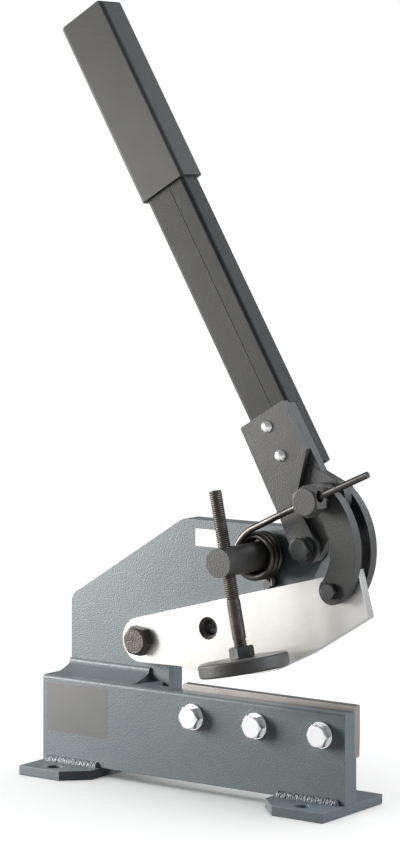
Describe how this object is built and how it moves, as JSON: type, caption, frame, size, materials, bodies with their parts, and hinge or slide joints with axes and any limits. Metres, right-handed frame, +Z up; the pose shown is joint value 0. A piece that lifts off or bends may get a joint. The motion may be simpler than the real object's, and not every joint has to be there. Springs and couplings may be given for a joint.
{
  "type": "bench lever shear",
  "caption": "Bench lever shear: a long sprung handle works a swinging upper blade through curved links against a fixed lower blade, with a screw hold-down on a two-plate frame.",
  "frame": {"origin": "centre of the four foot holes, at floor level under the feet", "axes": "+X along the front plate towards the lever end, +Y from the front plate back towards the rear plate, +Z up"},
  "size_m": [0.355, 0.1406, 0.6966],
  "materials": {
    "frame_paint": "hammertone",
    "lever_paint": "fine texture, semi-gloss",
    "upper_blade_steel": "ground bright",
    "lower_blade_steel": "ground",
    "zinc": "bright zinc plated",
    "black_oxide": "black oxide",
    "spring_steel": "dark brown-black oiled",
    "grip_plastic": "satin"
  },
  "bodies": {
    "frame": {"front_plate": "frame_paint", "left_foot": "frame_paint", "right_foot": "frame_paint", "foot_welds": "frame_paint", "spacer_block": "frame_paint", "rear_plate": "frame_paint", "ledge_weld": "frame_paint", "lower_blade": "lower_blade_steel", "lower_blade_screws": "zinc", "lower_blade_washers": "zinc", "blade_pivot_bolt": "black_oxide", "blade_pivot_nut": "black_oxide", "lever_pivot_bolt": "black_oxide", "lever_pivot_washer": "black_oxide", "lever_pivot_nut": "black_oxide", "spring_anchor": "black_oxide"},
    "lever": {"lever_bracket": "lever_paint", "lever_plate": "lever_paint", "handle_tube": "lever_paint", "grip": "grip_plastic", "bracket_screws": "zinc", "bracket_nuts": "zinc"},
    "blade": {"upper_blade": "upper_blade_steel"},
    "links": {"front_link": "lever_paint", "rear_link": "lever_paint", "link_washers": "zinc", "link_pin": "black_oxide", "link_pin_nut": "black_oxide"},
    "eye": {"eye_pin": "lever_paint", "eye_pin_nuts": "black_oxide"},
    "return_spring": {"spring": "spring_steel"},
    "hold_down_arm": {"hold_down_bar": "lever_paint", "bar_screw": "black_oxide"},
    "hold_down_spindle": {"hold_down_screw": "spring_steel"},
    "hold_down_foot": {"hold_down_nut": "black_oxide", "hold_down_pad": "lever_paint"}
  },
  "joints": [
    {"name": "lever_pivot", "type": "hinge", "parent": "frame", "child": "lever", "pos_m": [0.1105, 0.0163, 0.2188], "axis": [0, 1, 0], "range_deg": [0, 98.7], "stiffness_Nm_per_rad": 2.8, "springref_deg": -34.38},
    {"name": "blade_pivot", "type": "hinge", "parent": "frame", "child": "blade", "pos_m": [-0.0703, 0.0163, 0.1219], "axis": [0, 1, 0], "range_deg": [0, 18.56]},
    {"name": "link_pivot", "type": "hinge", "parent": "lever", "child": "links", "pos_m": [0.12998, 0.0163, 0.26256], "axis": [0, 1, 0], "range_deg": [-90.21, 0]},
    {"name": "eye_pin_turn", "type": "hinge", "parent": "lever", "child": "eye", "pos_m": [0.12998, 0.0163, 0.26256], "axis": [0, 1, 0], "range_deg": [-50.7, 0]},
    {"name": "spring_wind", "type": "hinge", "parent": "frame", "child": "return_spring", "pos_m": [0.0623, 0.0075, 0.2086], "axis": [0, 1, 0], "range_deg": [0, 48.1], "deforming": ["spring"]},
    {"name": "hold_down_swing", "type": "hinge", "parent": "frame", "child": "hold_down_arm", "pos_m": [0.0623, -0.0125, 0.2086], "axis": [0, 1, 0], "range_deg": [-15, 30]},
    {"name": "hold_down_travel", "type": "slide", "parent": "hold_down_arm", "child": "hold_down_spindle", "axis": [0.2011, 0, -0.9796], "range_m": [-0.045, 0.02]},
    {"name": "hold_down_turn", "type": "hinge", "parent": "hold_down_spindle", "child": "hold_down_foot", "pos_m": [0.0623, -0.0415, 0.2086], "axis": [0.2011, 0, -0.9796], "range_deg": [-9256.1, 4113.3]}
  ],
  "couplings": [
    {"joint": "blade_pivot", "follows": "lever_pivot", "ratio": 0.18755},
    {"joint": "link_pivot", "follows": "lever_pivot", "ratio": -0.91343},
    {"joint": "eye_pin_turn", "follows": "lever_pivot", "ratio": -0.51322},
    {"joint": "spring_wind", "follows": "lever_pivot", "ratio": 0.48678},
    {"joint": "hold_down_travel", "follows": "hold_down_turn", "m_per_rad": 0.00027852}
  ]
}
